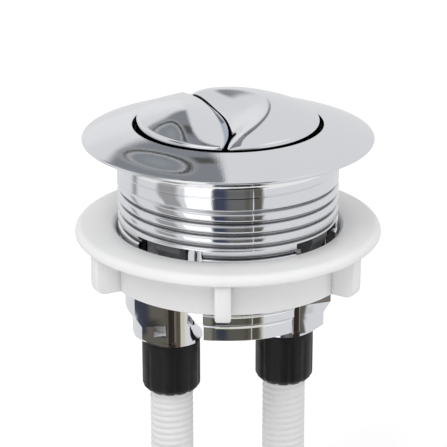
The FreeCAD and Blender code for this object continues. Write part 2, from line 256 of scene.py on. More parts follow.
profile = bezel_profile()
for angles in zip(barrel_angles, barrel_angles[1:]):
    sides = []
    for angle in angles:
        flash = parting_line(angle)
        proud = [flash if z < SEAT_END + 0.01 and r > BORE_R + 1 else 0 for r, z in profile]
        sides.append([turn_point(r + more, angle, z) for (r, z), more in zip(profile, proud)])
    strip(*sides)
    sides = [column(thread_rows(angle, THREAD_TOP, SLOT_TOP), angle, SLOT_TOP)[0] for angle in angles]
    strip(*sides)
    middle = sum(angles) / 2
    if any(abs(middle - m) < SLOT_ANGLE / 2 for m in slot_middles):
        strip(*[[side[-1], turn_point(BORE_R, angle, SLOT_TOP)] for side, angle in zip(sides, angles)])
        continue
    columns = [column(thread_rows(angle, SLOT_TOP, SHORT_LEG_Z), angle, SHORT_LEG_Z) for angle in angles]
    foot = finger_part(columns, angles)
    if 45 < middle < 135 or 225 < middle < 315:
        foot = finger_part([column(leg_rows(), angle, LEG_Z) for angle in angles], angles)
    strip(*foot)
bezel_barrel = solid_object("bezel_and_barrel")


def feed(socket, value):
    """Links an input to another socket, or sets its value; None leaves it."""
    if isinstance(value, Number):
        value = value.socket
    if isinstance(value, bpy.types.NodeSocket):
        socket.id_data.links.new(value, socket)
    elif value is not None:
        socket.default_value = (*value, 1) if socket.type == "RGBA" else value


def add_node(tree, kind, *values, **named):
    """Adds a node and gives its outputs. Values feed its inputs in order, and
    names with a capital do so by name; any other name is a setting."""
    node = tree.nodes.new(kind)
    for name in filter(str.islower, named):
        setattr(node, name, named[name])
    for socket, value in zip(node.inputs, values):
        feed(socket, value)
    for name in named:
        if not name.islower():
            feed(node.inputs[name.replace("_", " ")], named[name])
    return node.outputs


class Number:
    """A number that a node tree works out: sums with it add Math nodes."""

    def __init__(self, socket):
        self.socket = socket

    def math(self, operation, *others):
        """Adds a Math node that takes this number first, and gives its result."""
        tree = self.socket.id_data
        return Number(add_node(tree, "ShaderNodeMath", self, *others, operation=operation)[0])

    __add__ = partialmethod(math, "ADD")
    __sub__ = partialmethod(math, "SUBTRACT")
    __mul__ = partialmethod(math, "MULTIPLY")
    __truediv__ = partialmethod(math, "DIVIDE")
    __pow__ = partialmethod(math, "POWER")
    __lt__ = partialmethod(math, "LESS_THAN")
    __gt__ = partialmethod(math, "GREATER_THAN")
    __abs__ = partialmethod(math, "ABSOLUTE")

    def under(self, half, soft):
        """1 where it is under half, 0 over it, with a smooth edge between."""
        tree, limits = self.socket.id_data, (half + soft, half - soft)
        return Number(add_node(tree, "ShaderNodeMapRange", self, *limits, interpolation_type="SMOOTHSTEP")[0])


def mixed(tree, share, under, over):
    """Mixes two colours, sockets or plain ones, by a share."""
    return add_node(tree, "ShaderNodeMix", share, *[None] * 5, under, over, data_type="RGBA")[2]


def split_axes(tree, vector):
    """The three parts of a vector, as numbers."""
    return [Number(part) for part in add_node(tree, "ShaderNodeSeparateXYZ", vector)]


def moulding_group():
    """Group for moulded surfaces: slow sink waviness and fine grain as a
    normal, and a mask of faint handling marks."""
    group = bpy.data.node_groups.new("moulded_surface", "ShaderNodeTree")
    for name in ("Wave Size", "Wave Strength", "Grain Size", "Grain Strength"):
        group.interface.new_socket(name, in_out="INPUT", socket_type="NodeSocketFloat")
    group.interface.new_socket("Normal", in_out="OUTPUT", socket_type="NodeSocketVector")
    group.interface.new_socket("Marks", in_out="OUTPUT", socket_type="NodeSocketFloat")
    given = group.nodes.new("NodeGroupInput").outputs
    result = group.nodes.new("NodeGroupOutput").inputs
    place = add_node(group, "ShaderNodeTexCoord")["Object"]
    wave = add_node(group, "ShaderNodeTexNoise", Vector=place, Scale=given["Wave Size"], Detail=1.0)[0]
    grain = add_node(group, "ShaderNodeTexNoise", Vector=place, Scale=given["Grain Size"], Detail=2.0)[0]
    slow = add_node(group, "ShaderNodeBump", Height=wave, Strength=given["Wave Strength"],
                    Distance=WAVE_DEPTH)[0]
    fine = add_node(group, "ShaderNodeBump", Height=grain, Strength=given["Grain Strength"],
                    Distance=GRAIN_DEPTH, Normal=slow)[0]
    feed(result["Normal"], fine)
    marks = add_node(group, "ShaderNodeTexNoise", Vector=place, Scale=MARKS_SIZE, Detail=5.0, Roughness=0.6)
    feed(result["Marks"], marks[0])
    return group


WAVE_DEPTH, GRAIN_DEPTH = 1.0 * MM, 0.2 * MM
MARKS_SIZE, MARKS_LOW, MARKS_HIGH, MARKS_TINT = 70.0, 0.35, 0.7, 0.96
moulded_surface = moulding_group()


def finish_material(name, color, roughness, spread, wave, grain=(2500.0, 0.02), **sockets):
    """Principled material whose roughness wanders by spread with the marks;
    wave and grain are each a size and a strength."""
    material = bpy.data.materials.new(name)
    material.use_nodes = True
    tree = material.node_tree
    surface = add_node(tree, "ShaderNodeGroup", *wave, *grain, node_tree=moulded_surface)
    marks = surface["Marks"]
    sockets["Base Color"] = mixed(tree, marks, color, [part * MARKS_TINT for part in color])
    sockets["Roughness"] = add_node(tree, "ShaderNodeMapRange", marks, MARKS_LOW, MARKS_HIGH,
                                    roughness, roughness + spread)[0]
    sockets["Normal"] = surface["Normal"]
    for socket, value in sockets.items():
        feed(shader_input(material, socket.replace("_", " ")), value)
    return material


def shader_input(material, name):
    """An input of a material's Principled shader."""
    return material.node_tree.nodes["Principled BSDF"].inputs[name]


def surface_place(material):
    """Where a surface is, in millimetres, its distance from the Z axis, and
    the direction that it faces."""
    tree = material.node_tree
    seen = add_node(tree, "ShaderNodeTexCoord")
    scaled = add_node(tree, "ShaderNodeVectorMath", seen["Object"], Scale=1 / MM, operation="SCALE")[0]
    x, y, z = split_axes(tree, scaled)
    return x, y, z, (x * x + y * y).math("SQRT"), split_axes(tree, seen["Normal"])


def painted(material, mask, color):
    """Lays another colour over a material's own one where mask is 1."""
    base = shader_input(material, "Base Color")
    feed(base, mixed(material.node_tree, mask, base.links[0].from_socket, color))


def roughened(material, mask, more):
    """Adds to a material's roughness where mask is 1."""
    rough = shader_input(material, "Roughness")
    feed(rough, mask * more + rough.links[0].from_socket)


def shade_bezel(material):
    """Painted shade in the thread's grooves, on the slots' sides, in the well and
    in the bore, painted reflections on the legs, and a painted highlight on the neck."""
    x, y, z, radius, facing = surface_place(material)
    # Painted shade along the floor of the thread's grooves
    groove = abs(radius - (BARREL_R - THREAD_DEPTH)).under(*GROOVE_EDGE)
    threaded = abs(z - (THREAD_TOP + THREAD_END) / 2).under((THREAD_TOP - THREAD_END) / 2, 0.2)
    painted(material, groove * threaded, GROOVE_SHADE)
    # Painted reflections on the upright sides of the long legs, darker towards -X
    legs = z.under(LEG_REFLECTION_Z, LEG_REFLECTION_EDGE) * (facing[2] < UPRIGHT)
    for reach, color in LEG_REFLECTIONS:
        painted(material, legs * x.under(reach, LEG_REFLECTION_EDGE), color)
    roughened(material, legs, LEG_ROUGHER)
    # Painted shade on the slots' sides
    outward = abs((x * facing[0] + y * facing[1]) / radius)
    painted(material, outward.under(*SIDEWAYS) * z.under(SLOT_TOP, 0.05), SLOT_SHADE)
    # Painted highlight round the neck under the disc
    neck = abs(z - (SEAT_Z + SEAT_END) / 2) < NECK_HALF
    painted(material, neck * (radius > BARREL_R - 0.1), NECK_HIGHLIGHT)
    # Painted shade in the deep well round the caps and in the bore
    well = (radius < RING_R + 0.06) * (z < RING_Z - RING_EDGE)
    bore = (radius < BORE_R + 0.02) * (z < LIP_Z)
    painted(material, well.math("MAXIMUM", bore), INSIDE_SHADE)


CHROME = (0.82, 0.83, 0.85)
# Painted shade for the well, the bore and the caps' split
INSIDE_SHADE = (0.03, 0.03, 0.028)
# Painted shade in the thread's grooves
GROOVE_SHADE, GROOVE_EDGE = (0.36, 0.36, 0.37), (0.45, 0.2)
# Painted shade on the slots' sides
SLOT_SHADE, SIDEWAYS = (0.15, 0.15, 0.15), (0.3, 0.1)
# Painted highlight on the neck
NECK_HIGHLIGHT, NECK_HALF = (1.0, 1.0, 1.0), 0.7
# Painted reflections on the legs: how far along X each one reaches, and its colour
LEG_REFLECTIONS = ((2.7, (0.6, 0.59, 0.52)), (-7.4, (0.14, 0.14, 0.12)))
LEG_REFLECTION_Z, LEG_REFLECTION_EDGE, LEG_ROUGHER, UPRIGHT = -30.2, 0.3, 0.06, 0.15
bezel_chrome = finish_material("bezel_chrome", CHROME, 0.035, 0.03, wave=(60.0, 0.05), Metallic=1.0)
shade_bezel(bezel_chrome)
bezel_barrel.data.materials.append(bezel_chrome)
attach(bezel_barrel, "barrel")
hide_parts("bezel_barrel")

# Guide cage: grey moulded plate that snaps into the barrel's slots and guides
# both stems. Little of it shows: its tabs in the slots, its plate from below.
cage_plastic = finish_material("cage_plastic", (0.11, 0.115, 0.12), 0.42, 0.12, wave=(90.0, 0.15),
                               grain=(1800.0, 0.3))
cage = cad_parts["guide_cage"]
cage.data.materials.clear()
cage.data.materials.append(cage_plastic)

# Push button caps: two chromed shells that share the round well. Both are shallow
# domes; the half flush cap has a bevel along the split between them, and the full
# flush cap a lens-shaped hollow for the finger.
ROD_X = 12.9
CAP_R = 19.6
CAP_WALL = 1.5
HALF_EDGE, HALF_CROWN, HALF_LEAN, HALF_POWER = 1.45, 3.2, 0.55, 2.0
FULL_EDGE, FULL_CROWN, FULL_LEAN, FULL_POWER = 1.15, 4.15, 0.55, 2.28
SPLIT_R, SPLIT_X, SPLIT_GAP = 45.5, -0.61, 0.55
BEVEL_DROP, BEVEL_ANGLE, BEVEL_SOFT = 4.04, 41.7, 0.35
ROOF_DROP = 1.6
ROLL, ROLL_WIDTH = 2.6, 13.0
FULL_ROLL, FULL_ROLL_WIDTH = 0.82, 3.5
HOLLOW_R, HOLLOW_X, HOLLOW_DEPTH = 20.4, -10.4, 4.09
CAP_ROUND, SPLIT_ROUND, ROUND_REACH = 0.55, 0.16, 2.5
CAP_CORNER = 0.9
SKIRT_Z = -4.4
FLANGE_TOP, FLANGE_THICKNESS, FLANGE_REACH = -1.6, 1.7, 1.7
CAP_BOSS_R, CAP_BOSS_Z = 3.6, -3.4
SPRING_SEAT_R, SPRING_SEAT = 5.3, 1.2
TENON_R, TENON_LENGTH, RUNNING = 2.4, 4.0, 0.08
RIB_THICKNESS, RIB_START, RIB_STEPS = 1.2, 0.3, 14
# Rings of points on the caps: steps along each, towards their middles inside,
# round the edge by angle, and in from the edge on top
RIM_STEPS, SPLIT_STEPS, CORNER_STEPS = 96, 64, 8
HALF_MIDDLE, FULL_MIDDLE = -10.5, 13.0
ROOF_SHARES, TOP_STEPS = (0.02, 0.35, 0.7, 1.0), 16
EDGE_TURNS = (90, 82, 74, 66, 58, 50, 42, 30, 20, 10, 0)
TOP_INSETS = [0.66 + 0.15 * i for i in range(13)] + [2.7 + 0.5 * i for i in range(11)]


def dome(x, y, edge, crown, lean, power):
    """Height of a cap's crown: a shallow dome with its back edge raised."""
    return RING_Z + edge + lean * y / CAP_R + crown * (1 - (hypot(x, y) / CAP_R) ** power)


def from_split(x, y):
    """Distance from the middle of the split, positive on the half flush side."""
    return SPLIT_R - hypot(x - SPLIT_X + SPLIT_R, y)


def half_height(x, y):
    """Dome cut by a bevel along the split, the crest between them softened."""
    inward = from_split(x, y) - SPLIT_GAP / 2
    roll = ROLL * max(1 - inward / ROLL_WIDTH, 0) ** 2 * max(1 - (y / CAP_R) ** 2, 0)
    top = dome(x, y, HALF_EDGE, HALF_CROWN, HALF_LEAN, HALF_POWER) - roll
    rise = inward * tan(radians(BEVEL_ANGLE))
    bevel = dome(SPLIT_X, 0, HALF_EDGE, HALF_CROWN, HALF_LEAN, HALF_POWER) - BEVEL_DROP + rise
    mix = min(max(0.5 + (bevel - top) / (2 * BEVEL_SOFT), 0), 1)
    return bevel + (top - bevel) * mix - BEVEL_SOFT * mix * (1 - mix)


def full_height(x, y):
    """Dome with a finger hollow between the split and a round border."""
    depth = HOLLOW_R - hypot(x - HOLLOW_X, y)
    share = min(max(depth / (HOLLOW_R + HOLLOW_X), 0), 1)
    roll = min(max(1 + (from_split(x, y) + SPLIT_GAP / 2) / FULL_ROLL_WIDTH, 0), 1)
    top = dome(x, y, FULL_EDGE, FULL_CROWN, FULL_LEAN, FULL_POWER)
    return top - HOLLOW_DEPTH * share ** 2 * (3 - 2 * share) - FULL_ROLL * roll ** 2


def circles_meet(x0, r0, x1, r1):
    """Meeting point with positive y of two circles centred on the X axis."""
    x = (r0 * r0 - r1 * r1 - x0 * x0 + x1 * x1) / (2 * (x1 - x0))
    return x, sqrt(max(r0 * r0 - (x - x0) ** 2, 0))


def cap_ring(side, inset, rim_r):
    """Outline of a cap moved in by inset: rim, corner, split, corner."""
    centre = SPLIT_X - SPLIT_R
    base = max(inset, CAP_CORNER)
    split_r = SPLIT_R + side * SPLIT_GAP / 2
    x, y = circles_meet(0, rim_r - base, centre, split_r + side * base)
    rim_turn, split_turn = atan2(y, x), atan2(y, x - centre)
    corner = base - inset
    if side < 0:
        turns = ((rim_turn, 2 * pi - rim_turn), (2 * pi - rim_turn, 2 * pi - split_turn),
                 (-split_turn, split_turn), (split_turn, rim_turn))
    else:
        turns = ((-rim_turn, rim_turn), (rim_turn, pi + split_turn),
                 (split_turn, -split_turn), (pi - split_turn, 2 * pi - rim_turn))
    rim = sweep(0, 0, rim_r - inset, *turns[0], RIM_STEPS)
    first = sweep(x, side * y, corner, *turns[1], CORNER_STEPS)
    split = sweep(centre, 0, split_r + side * inset, *turns[2], SPLIT_STEPS)
    second = sweep(x, -side * y, corner, *turns[3], CORNER_STEPS)
    return rim + first[1:-1] + split + second[1:-1]


def sweep(x, y, radius, start, end, steps):
    """Points on an arc between two directions, in radians, ends included."""
    turns = [start + (end - start) * i / steps for i in range(steps + 1)]
    return [(x + radius * cos(a), y + radius * sin(a)) for a in turns]


def edge_drop(x, y, inset):
    """How far the top falls at its edge: crisp at the split, rounder at the rim."""
    away = min(max((abs(from_split(x, y)) - SPLIT_GAP / 2) / ROUND_REACH, 0), 1)
    r = SPLIT_ROUND + (CAP_ROUND - SPLIT_ROUND) * away
    return r - sqrt(max(r * r - max(r - inset, 0) ** 2, 0))


def add_ring(ring, level):
    """Adds a ring of points at level(x, y) and gives their numbers."""
    points.extend((x, y, level(x, y)) for x, y in ring)
    return list(range(len(points) - len(ring), len(points)))


def join_rings(rings):
    """Quads between each closed ring of points and the next."""
    for near, far in zip(rings, rings[1:]):
        for i in range(len(near)):
            j = (i + 1) % len(near)
            faces.append((near[i], near[j], far[j], far[i]))


def fan(ring, x, y, z):
    """Triangles from a closed ring of points to one more point."""
    points.append((x, y, z))
    for a, b in zip(ring, ring[1:] + ring[:1]):
        faces.append((a, b, len(points) - 1))


def cap_shell(name, side, height):
    """Closed shell: sculpted top with a rounded edge, skirt, flange, inside."""
    middle = HALF_MIDDLE if side < 0 else FULL_MIDDLE
    drop = CAP_WALL + (ROOF_DROP if side < 0 else 0)
    inside = cap_ring(side, CAP_WALL, CAP_R)

    def drawn_in(ring, share):
        return [(middle + (x - middle) * share, y * share) for x, y in ring]

    rings = [add_ring(drawn_in(inside, share), lambda x, y: height(x, y) - drop) for share in ROOF_SHARES]
    rings.append(add_ring(inside, lambda x, y: SKIRT_Z))
    low, reach = FLANGE_TOP - FLANGE_THICKNESS, FLANGE_REACH
    for more, z in ((0, SKIRT_Z), (0, low), (reach, low), (reach, FLANGE_TOP), (0, FLANGE_TOP)):
        rings.append(add_ring(cap_ring(side, 0, CAP_R + more), lambda x, y: z))
    for turn in EDGE_TURNS:
        inset = CAP_ROUND * (1 - sin(radians(turn)))
        ring = cap_ring(side, inset, CAP_R)
        rings.append(add_ring(ring, lambda x, y: height(x, y) - edge_drop(x, y, inset)))
    for inset in TOP_INSETS:
        last = cap_ring(side, inset, CAP_R)
        rings.append(add_ring(last, height))
    for i in range(1, TOP_STEPS):
        rings.append(add_ring(drawn_in(last, 1 - i / TOP_STEPS), height))
    join_rings(rings)
    fan(rings[-1], middle, 0, height(middle, 0))
    faces.append(tuple(rings[0]))
    return solid_object(name)


def lathe(profile, x=0.0, columns=72):
    """Adds a turned form round an upright axis through x; a profile that starts
    on the axis also ends there, any other is a closed loop."""
    loop = profile if profile[0][0] == 0 else profile + profile[:1]
    for i in range(columns):
        a, b = 360 * i / columns, 360 * (i + 1) / columns
        strip([turn_point(r, a, z, x) for r, z in loop], [turn_point(r, b, z, x) for r, z in loop])


def post(ring, bottom, level):
    """Adds an upright form over a ring of points, its top at level(x, y)."""
    rings = [add_ring(ring, lambda x, y: bottom), add_ring(ring, level)]
    join_rings(rings)
    faces.append(tuple(rings[0]))
    x, y = (sum(places) / len(ring) for places in zip(*ring))
    fan(rings[1], x, y, level(x, y))


def cap_inside(name, side, height):
    """Socket for the stem, spring seat and four ribs, sunk in the shell's roof."""
    axis = side * ROD_X
    bore, seat, bore_top = TENON_R + RUNNING, CAP_BOSS_Z + SPRING_SEAT, CAP_BOSS_Z + TENON_LENGTH
    depth = CAP_WALL / 2 + (ROOF_DROP if side < 0 else 0)
    roof = bore_top + 0.4
    lathe([(0, bore_top), (bore, bore_top), (bore, CAP_BOSS_Z), (SPRING_SEAT_R, CAP_BOSS_Z),
           (SPRING_SEAT_R, seat), (CAP_BOSS_R, seat), (CAP_BOSS_R, roof), (0, roof)], axis, 48)
    post(sweep(axis, 0, CAP_BOSS_R, 0, 2 * pi, 48)[:-1], roof, lambda x, y: height(x, y) - depth)
    half = RIB_THICKNESS / 2
    for dx, dy in ((1, 0), (-1, 0), (0, 1), (0, -1)):
        reach = CAP_BOSS_R
        while in_wall(axis + dx * reach, dy * reach, side):
            reach += 0.05
        start = bore + RIB_START
        stations = [start + (reach - start) * i / RIB_STEPS for i in range(RIB_STEPS + 1)]
        ring = [(axis + dx * s - dy * half, dy * s + dx * half) for s in stations]
        ring += [(axis + dx * s + dy * half, dy * s - dx * half) for s in reversed(stations)]
        post(ring, seat, lambda x, y: height(x, y) - depth)
    return solid_object(name)


def in_wall(x, y, side):
    """Whether a place inside a cap is short of the middle of its side wall."""
    clear = SPLIT_GAP / 2 + CAP_WALL / 2
    return hypot(x, y) < CAP_R - CAP_WALL / 2 and -side * from_split(x, y) > clear


def joined(first, *others):
    """Joins several objects' meshes into the first one."""
    work = bmesh.new()
    for piece in (first, *others):
        work.from_mesh(piece.data)
    work.to_mesh(first.data)
    work.free()
    for piece in others:
        bpy.data.objects.remove(piece)
    return first


def shade_cap(material, side):
    """Painted blue-grey reflection on the half flush cap's bevel; painted shade on
    both in the split and on the side below the bezel's ring."""
    x, y, z, radius, facing = surface_place(material)
    if side < 0:
        # Painted blue-grey reflection on the bevel's faces that look towards the full flush cap
        painted(material, (facing[0] * -1.0).under(*BEVEL_FACING), BEVEL_REFLECTION)
    # Painted shade in the narrow split between the caps and on their sides below the bezel's ring
    from_centre = x - (SPLIT_X - SPLIT_R)
    across = (from_centre * from_centre + y * y).math("SQRT")
    split = abs(across - SPLIT_R).under(SPLIT_GAP / 2 + 0.05, 0.03)
    sunk = z.under(RING_Z + 0.12, 0.1)
    painted(material, split.math("MAXIMUM", sunk), INSIDE_SHADE)


# Painted reflection on the half flush cap's bevel, and which way its faces look
BEVEL_REFLECTION, BEVEL_FACING = (0.42, 0.48, 0.58), (-0.5, 0.14)
for side, height, label in ((-1, half_height, "half_flush"), (1, full_height, "full_flush")):
    cap_chrome = finish_material(label + "_chrome", CHROME, 0.03, 0.03, wave=(70.0, 0.05), Metallic=1.0)
    shade_cap(cap_chrome, side)
    cap = cap_shell(label + "_button", side, height)
    joined(cap, cap_inside("cap_inside", side, height))
    cap.data.materials.append(cap_chrome)
    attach(cap, label + "_button")
    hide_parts(label + "_cap")

# Plungers: chromed blocks below the nut that carry the push from cap to rod. Each
# has a tenon, a stem, a stop shoulder, a winged block and a spigot, in one moulding;
# the half flush one has a square window through it.
BLOCK_TOP = -20.0
BLOCK_HALF = 7.0
BLOCK_R, WING_R = 21.2, 22.7
WING_TOP, WING_ROUND, WING_DEPTH = -29.6, 0.6, 8.4
WAIST_Z, BOSS_BOTTOM = -40.4, -45.9
SOCKET_BOSS_R, BOSS_ANGLE = 6.45, 40.0
FOOT, FOOT_SLANT, INNER_WAIST = 1.2, 4.6, 2.7
GROOVE_X, GROOVE_DEPTH = (0.3, 1.8), 0.7
FACE_TURN = 1.0
WINDOW, WINDOW_X, WINDOW_Z = 2.6, 3.65, -41.5
STEM_R, SHOULDER_R, SHOULDER_TOP = 2.9, 4.7, -17.2
SPIGOT_R, SPIGOT_LENGTH, SOCKET_R, SOCKET_DEPTH = 5.65, 3.0, 5.25, 13.6
PLUNGER_EDGE, EDGE_ANGLE, PLUNGER_SHARP = 0.28, 28, 30
HAIR = 0.001


def block_ring(outer, inner, groove):
    """Section of the winged block seen from above: round outer side, flat front
    and back with a groove, and a round inner side cut off at x = inner."""
    edge = BLOCK_HALF - FACE_TURN
    turn = atan2(edge, sqrt(outer ** 2 - edge ** 2))
    left, right = ROD_X + GROOVE_X[0], ROD_X + GROOVE_X[1]
    face = [(right + HAIR, 0), (right, groove), (left, groove), (left - HAIR, 0)]
    ring = sweep(0, 0, outer, -turn, turn, 18)
    ring += [(x, BLOCK_HALF - cut) for x, cut in face]
    ring += sweep(ROD_X, 0, BLOCK_HALF, pi / 2, 3 * pi / 2, 26)[1:-1]
    ring += [(x, cut - BLOCK_HALF) for x, cut in reversed(face)]
    return [(max(x, inner), y) for x, y in ring]


def plunger_block(name):
    """Winged block as one closed shell."""
    foot = BOSS_BOTTOM + FOOT
    bend = foot + FOOT_SLANT
    full, waist = ROD_X - BLOCK_HALF, ROD_X - INNER_WAIST
    taper = (WING_R - BLOCK_R) / (WING_TOP - WING_DEPTH - WAIST_Z)
    low = waist - (waist - full) * (bend - WAIST_Z) / FOOT_SLANT
    rows = [
        (BLOCK_TOP, BLOCK_R, full, 0), (WING_TOP + HAIR, BLOCK_R, full, 0), (WING_TOP, BLOCK_R, waist, 1),
        (WING_TOP - WING_ROUND, WING_R, waist, 1), (WING_TOP - WING_DEPTH, WING_R, waist, 1),
        (bend, BLOCK_R + taper * (bend - WAIST_Z), waist, 1), (WAIST_Z, BLOCK_R, low, 1),
        (foot, BLOCK_R, full, 1), (foot - HAIR, BLOCK_R, full, 0), (BOSS_BOTTOM, BLOCK_R, full, 0),
    ]
    rings = []
    for z, outer, inner, groove in rows:
        rings.append(add_ring(block_ring(outer, inner, groove * GROOVE_DEPTH), lambda x, y: z))
    join_rings(rings)
    faces.extend([tuple(rings[0]), tuple(rings[-1])])
    return solid_object(name)


def turned_cutter(name, low, high, columns):
    """Cutter turned about the rod's axis between two radii and heights."""
    lathe([(0, low[1]), low, high, (0, high[1])], ROD_X, columns)
    return solid_object(name)


def window_cutter(name):
    """Square bar that cuts the window through the half flush block."""
    x, half, deep = ROD_X + WINDOW_X, WINDOW / 2, BLOCK_HALF + 1
    ring = [(x - half, -deep), (x + half, -deep), (x + half, deep), (x - half, deep)]
    post(ring, WINDOW_Z - half, lambda x, y: WINDOW_Z + half)
    return solid_object(name)


def stem_and_spigot(name):
    """Turned ends of the plunger: tenon, stem, shoulder and spigot tube."""
    tip, bottom = CAP_BOSS_Z + TENON_LENGTH, BOSS_BOTTOM - SPIGOT_LENGTH
    lathe([(0, BLOCK_TOP - 1), (SHOULDER_R, BLOCK_TOP - 1), (SHOULDER_R, SHOULDER_TOP - 0.3),
           (SHOULDER_R - 0.3, SHOULDER_TOP), (STEM_R, SHOULDER_TOP), (STEM_R, CAP_BOSS_Z),
           (TENON_R, CAP_BOSS_Z), (TENON_R, tip - 0.3), (TENON_R - 0.3, tip), (0, tip)], ROD_X)
    lathe([(SOCKET_R, BOSS_BOTTOM + 0.3), (SPIGOT_R, BOSS_BOTTOM + 0.3), (SPIGOT_R, bottom + 0.2),
           (SPIGOT_R - 0.2, bottom), (SOCKET_R, bottom)], ROD_X)
    return solid_object(name)


def applied(piece):
    """Bakes a piece's modifiers into its mesh."""
    bpy.context.view_layer.update()
    evaluated = piece.evaluated_get(bpy.context.evaluated_depsgraph_get())
    mesh = bpy.data.meshes.new_from_object(evaluated)
    piece.modifiers.clear()
    piece.data = mesh
    return piece


def cut_by(piece, cutter, operation):
    """Cuts or trims a piece with another shape, which is then thrown away."""
    cut = piece.modifiers.new("cut", "BOOLEAN")
    cut.object, cut.operation, cut.solver = cutter, operation, "EXACT"
    applied(piece)
    bpy.data.objects.remove(cutter)


def mirrored(piece):
    """Turns a full flush piece into the half flush one, on the other side."""
    piece.data.transform(Matrix.Diagonal((-1, 1, 1, 1)))
    piece.data.flip_normals()
    return piece


def shade_plunger(material):
    """Painted warm reflection on the front and back of the half flush block, painted shade in
    both blocks' grooves and on the full flush wing, and painted light on the window's walls."""
    x, y, z, radius, facing = surface_place(material)
    sideways = abs(facing[1]) * -1.0
    flat = sideways.under(*FLAT_FACING)
    square_on = sideways.under(*SQUARE_FACING)
    # Painted warm reflection on the front and back of the half flush block
    painted(material, square_on * (x < 0.0) * (z < WING_TOP), BLOCK_REFLECTION)
    # Painted shade on the full flush wing and in both blocks' grooves
    wing = flat * (x > ROD_X + GROOVE_X[1]) * (z > WING_TOP - WING_DEPTH)
    painted(material, wing, WING_SHADE)
    middle = abs(x) - (ROD_X + sum(GROOVE_X) / 2)
    groove = abs(middle).under((GROOVE_X[1] - GROOVE_X[0]) / 2, 0.05)
    painted(material, groove * (z < WING_TOP) * flat, WING_SHADE)
    # Painted light in the window: its walls white and not metallic, for the bright view through it
    across = abs(x + (ROD_X + WINDOW_X))
    up = abs(z - WINDOW_Z)
    window = (across.math("MAXIMUM", up) < WINDOW / 2 + 0.02) * (abs(y) < WINDOW_FRAME)
    painted(material, window, WINDOW_LIGHT)
    roughened(material, window, WINDOW_ROUGHER)
    feed(shader_input(material, "Metallic"), window < 0.5)


# Painted colours on the plungers: a warm reflection, shade, and the window's light
BLOCK_REFLECTION, WING_SHADE, WINDOW_LIGHT = (0.7, 0.66, 0.56), (0.22, 0.19, 0.17), (0.92, 0.92, 0.92)
FLAT_FACING, SQUARE_FACING, WINDOW_FRAME, WINDOW_ROUGHER = (-0.8, 0.1), (-0.96, 0.02), 6.2, 0.4
plunger_chrome = finish_material("plunger_chrome", CHROME, 0.05, 0.05, wave=(90.0, 0.08), Metallic=1.0)
shade_plunger(plunger_chrome)
# The cone that the foot is drawn in to, and the rod's socket, as radius and height
foot_cone = [(SOCKET_BOSS_R + (z - BOSS_BOTTOM) / tan(radians(BOSS_ANGLE)), z)
             for z in (BOSS_BOTTOM - 0.5, BLOCK_TOP + 1)]
rod_socket = ((SOCKET_R, BOSS_BOTTOM - 1), (SOCKET_R, BOSS_BOTTOM - SPIGOT_LENGTH + SOCKET_DEPTH))
for label in ("half_flush", "full_flush"):
    block = plunger_block(label + "_plunger_block")
    if label == "half_flush":
        cut_by(block, window_cutter("window"), "DIFFERENCE")
    bevel = block.modifiers.new("edges", "BEVEL")
    bevel.width, bevel.segments, bevel.angle_limit = PLUNGER_EDGE * MM, 3, radians(EDGE_ANGLE)
    applied(block)
    cut_by(block, turned_cutter("cone", *foot_cone, 120), "INTERSECT")
    cut_by(block, turned_cutter("socket", *rod_socket, 72), "DIFFERENCE")
    plunger = joined(block, stem_and_spigot("stem"))
    plunger.name = label + "_push_block"
    if label == "half_flush":
        mirrored(plunger)
    plunger.data.shade_smooth()
    plunger.data.set_sharp_from_angle(angle=radians(PLUNGER_SHARP))
    plunger.data.materials.clear()
    plunger.data.materials.append(plunger_chrome)
    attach(plunger, label + "_button")
    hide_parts(label + "_plunger")


# Springs: a coil of steel wire round each stem, between the guide cage and the
# seat in its cap, which lifts the button when the finger lets go.
BUTTONS = (("half_flush", -ROD_X), ("full_flush", ROD_X))
SPRING_WIRE, SPRING_R, SPRING_TURNS = 0.8, 4.65, 5.0
SPRING_LOW, SPRING_HIGH = -14.18, -3.82


def mesh_tree(name, *sizes):
    """Geometry node tree that takes a mesh, named sizes and a material."""
    tree = bpy.data.node_groups.new(name, "GeometryNodeTree")
    kinds = {"Geometry": "Geometry", "Count": "Int", "Material": "Material"}
    for socket in ("Geometry", *sizes, "Material"):
        kind = "NodeSocket" + kinds.get(socket, "Float")
        tree.interface.new_socket(socket, in_out="INPUT", socket_type=kind)
    tree.interface.new_socket("Geometry", in_out="OUTPUT", socket_type="NodeSocketGeometry")
    return tree, tree.nodes.new("NodeGroupInput").outputs


def mesh_out(tree, mesh, material):
    """Paints a geometry tree's mesh and ends the tree with it."""
    painted_mesh = add_node(tree, "GeometryNodeSetMaterial", mesh, Material=material)[0]
    feed(tree.nodes.new("NodeGroupOutput").inputs[0], painted_mesh)
    return tree


def grow(seed, tree, **sizes):
    """Runs a geometry node tree on a piece and keeps the plain mesh."""
    modifier = seed.modifiers.new(tree.name, "NODES")
    modifier.node_group = tree
    for item in tree.interface.items_tree:
        key = item.name.replace(" ", "_").lower()
        if item.in_out == "INPUT" and key in sizes:
            modifier[item.identifier] = sizes[key]
    return applied(seed)


def coil_tree():
    """Winds a round wire in an even spiral about an upright axis."""
    tree, given = mesh_tree("wound_coil", "Axis X", "Bottom", "Radius", "Height", "Wire", "Turns")
    spiral = add_node(tree, "GeometryNodeCurveSpiral", Resolution=40, Rotations=given["Turns"],
                      Start_Radius=given["Radius"], End_Radius=given["Radius"], Height=given["Height"])[0]
    section = add_node(tree, "GeometryNodeCurvePrimitiveCircle", Resolution=14, Radius=given["Wire"])[0]
    wire = add_node(tree, "GeometryNodeCurveToMesh", spiral, section, Fill_Caps=True)[0]
    foot = add_node(tree, "ShaderNodeCombineXYZ", given["Axis X"], Z=given["Bottom"])[0]
    moved = add_node(tree, "GeometryNodeTransform", wire, Translation=foot)[0]
    real = add_node(tree, "GeometryNodeRealizeInstances", moved)[0]
    return mesh_out(tree, real, given["Material"])


